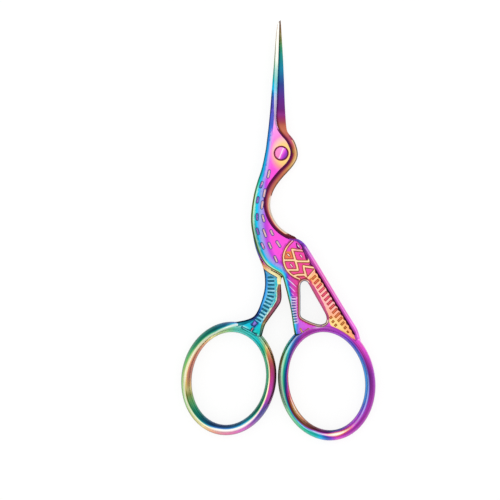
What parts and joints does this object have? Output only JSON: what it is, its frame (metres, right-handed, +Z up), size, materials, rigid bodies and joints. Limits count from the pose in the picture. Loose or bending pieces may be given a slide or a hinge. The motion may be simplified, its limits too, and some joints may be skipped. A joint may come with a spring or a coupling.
{
  "type": "embroidery scissors",
  "caption": "Small scissors in the shape of a standing stork: the bill cuts, the legs and tail carry two oval finger bows, and a slotted screw is the eye.",
  "frame": {"origin": "on the pivot screw's axis, in the plane that the closed scissors lie on", "axes": "+Y from the pivot to the blades' tips, +Z up out of the surface they lie on, +X towards the right bow"},
  "size_m": [0.0435, 0.094, 0.0034],
  "materials": {
    "front_steel": "polished steel with an iridescent rainbow titanium coat",
    "back_steel": "polished steel with an iridescent rainbow titanium coat",
    "screw_steel": "polished steel with an iridescent rainbow titanium coat"
  },
  "bodies": {
    "back": {"back_half": "back_steel", "pivot_screw": "screw_steel"},
    "front": {"front_half": "front_steel"}
  },
  "joints": [
    {"name": "blade_pivot", "type": "hinge", "parent": "back", "child": "front", "pos_m": [0, 0, 0.00175], "axis": [0, 0, 1], "range_deg": [0, 80]}
  ]
}
